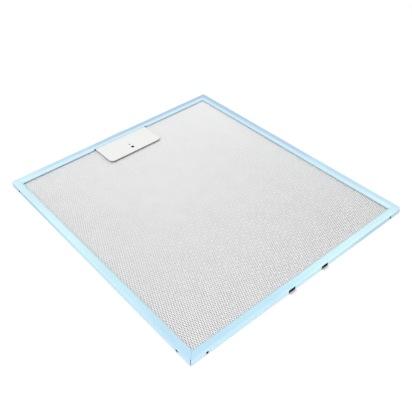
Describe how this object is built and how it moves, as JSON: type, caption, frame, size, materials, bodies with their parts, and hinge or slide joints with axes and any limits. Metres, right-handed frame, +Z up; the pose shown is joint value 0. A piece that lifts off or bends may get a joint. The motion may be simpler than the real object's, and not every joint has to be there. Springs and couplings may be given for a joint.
{
  "type": "cooker hood grease filter",
  "caption": "Flat rectangular cooker hood grease filter: a pack of expanded metal mesh in a folded channel frame, with fixed tongues on one edge and a sprung latch plate on the other.",
  "frame": {"origin": "under the middle of the frame, on the surface that the filter lies on", "axes": "+X along the latch edge, +Y from the tongues to the latch, +Z up, out of the face with the latch plate"},
  "size_m": [0.268, 0.3054, 0.0072],
  "materials": {
    "film_frame": "metal strip under a pale blue protective film, satin",
    "face_mesh": "bright expanded foil",
    "inner_mesh": "bright expanded foil",
    "zinc_steel": "zinc plated sheet",
    "plate_paint": "off-white satin sheet",
    "spring_steel": "blued spring strip"
  },
  "bodies": {
    "filter": {"channel_frame": "film_frame", "upper_face_mesh": "face_mesh", "lower_face_mesh": "face_mesh", "inner_mesh_1": "inner_mesh", "inner_mesh_2": "inner_mesh", "inner_mesh_3": "inner_mesh", "inner_mesh_4": "inner_mesh", "inner_mesh_5": "inner_mesh", "tongue_strip": "zinc_steel", "latch_spring": "spring_steel"},
    "latch": {"latch_plate": "plate_paint"}
  },
  "joints": [
    {"name": "latch_slide", "type": "slide", "parent": "filter", "child": "latch", "axis": [0, -1, 0], "range_m": [0, 0.0029], "stiffness_N_per_m": 1200, "springref_m": -0.002, "deforming": ["latch_spring"]}
  ]
}
